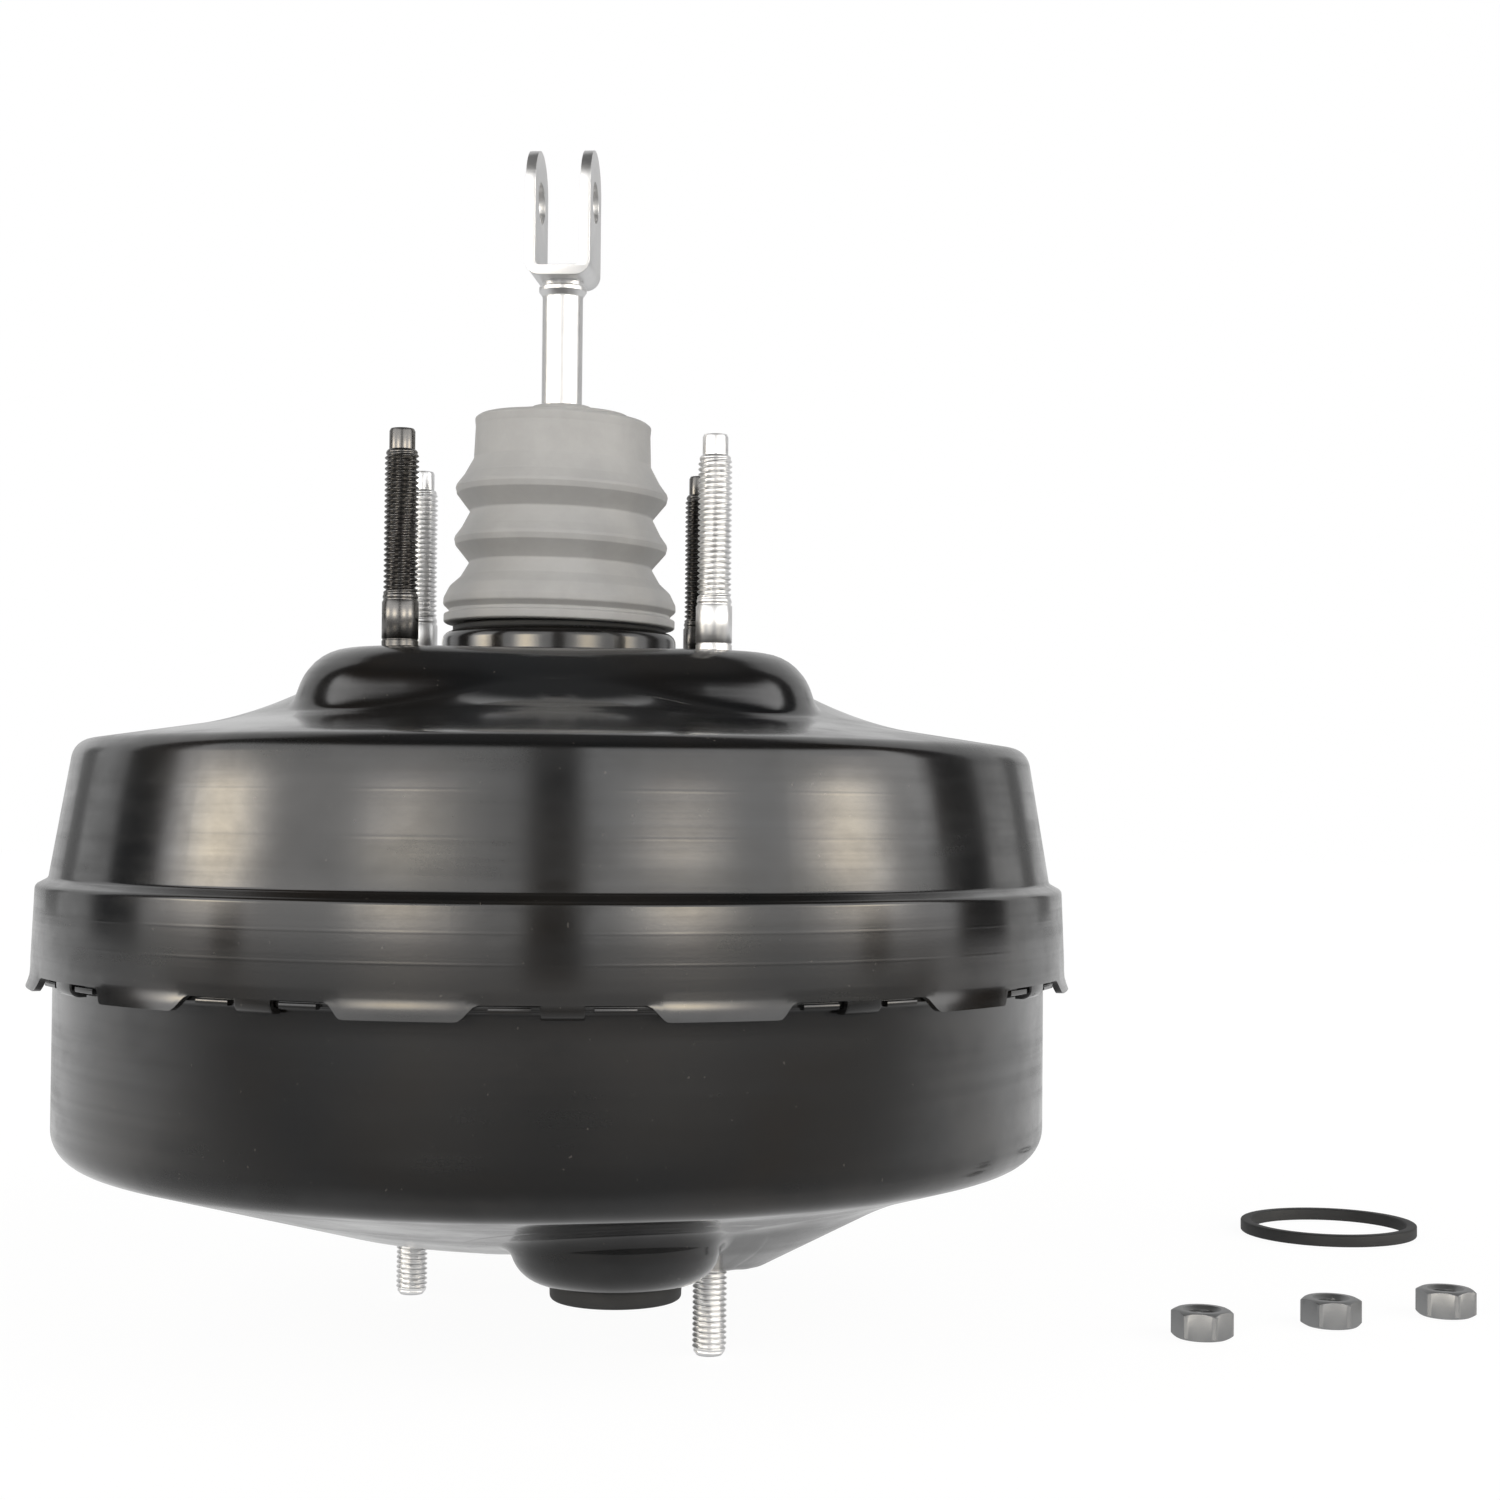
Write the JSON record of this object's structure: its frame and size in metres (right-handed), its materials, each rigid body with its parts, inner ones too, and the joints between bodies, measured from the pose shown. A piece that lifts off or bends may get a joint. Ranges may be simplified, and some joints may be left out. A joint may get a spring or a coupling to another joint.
{
  "type": "brake booster",
  "caption": "Tandem vacuum brake booster with crimped black shells, square studded hub, grey bellows boot, pushrod with clevis, vacuum port and master cylinder studs.",
  "frame": {"origin": "centre of the four firewall studs, on the firewall face of the hub", "axes": "+Z along the pushrod to the pedal, -Z to the master cylinder, -Y to the side with the vacuum port"},
  "size_m": [0.3831, 0.2741, 0.2894],
  "materials": {
    "black_enamel": "gloss black paint on drawn sheet",
    "black_oxide": "black oiled thread",
    "zinc_plate": "bright zinc",
    "nut_zinc": "dull zinc",
    "bare_steel": "plain pressed steel",
    "spring_steel": "drawn wire",
    "black_rubber": "matt",
    "grey_rubber": "matt grey",
    "white_plastic": "moulded",
    "brown_phenolic": "moulded resin",
    "filter_felt": "felt"
  },
  "bodies": {
    "housing": {"rear_shell": "black_enamel", "front_shell": "black_enamel", "firewall_studs_dark": "black_oxide", "firewall_studs_bright": "zinc_plate", "master_cylinder_studs": "zinc_plate", "rear_stud_plate": "bare_steel", "front_stud_plate": "bare_steel", "vacuum_grommet": "black_rubber", "neck_seal": "black_rubber", "neck_guide_ring": "white_plastic", "seal_retainer": "bare_steel", "rear_diaphragm": "black_rubber", "front_diaphragm": "black_rubber", "divider_plate": "bare_steel", "divider_seal": "black_rubber", "piston_return_spring": "spring_steel", "dust_boot": "grey_rubber", "mounting_nuts": "nut_zinc", "master_cylinder_seal": "black_rubber"},
    "power_piston": {"valve_body": "brown_phenolic", "rear_diaphragm_plate": "bare_steel", "front_diaphragm_plate": "bare_steel", "plate_retainer": "spring_steel", "reaction_disc": "black_rubber", "output_pushrod": "zinc_plate", "adjuster_screw": "zinc_plate", "output_rod_retainer": "bare_steel", "valve_key": "bare_steel", "poppet_valve": "black_rubber", "poppet_retainer": "bare_steel", "poppet_spring": "spring_steel", "pushrod_return_spring": "spring_steel", "air_filter": "filter_felt", "filter_retainer": "white_plastic"},
    "valve_plunger": {"valve_plunger": "zinc_plate"},
    "pushrod": {"pushrod": "zinc_plate", "clevis": "zinc_plate"}
  },
  "joints": [
    {"name": "piston_slide", "type": "slide", "parent": "housing", "child": "power_piston", "axis": [0, 0, -1], "range_m": [0, 0.032], "stiffness_N_per_m": 3000, "springref_m": -0.03, "deforming": ["dust_boot", "piston_return_spring", "rear_diaphragm", "front_diaphragm"]},
    {"name": "plunger_slide", "type": "slide", "parent": "power_piston", "child": "valve_plunger", "axis": [0, 0, -1], "range_m": [0, 0.0016], "stiffness_N_per_m": 4000, "springref_m": -0.006, "deforming": ["pushrod_return_spring"]},
    {"name": "pushrod_tilt", "type": "hinge", "parent": "valve_plunger", "child": "pushrod", "pos_m": [0, 0, -0.034], "axis": [0.9903, -0.1392, 0], "range_deg": [-3, 3], "stiffness_Nm_per_rad": 2}
  ]
}
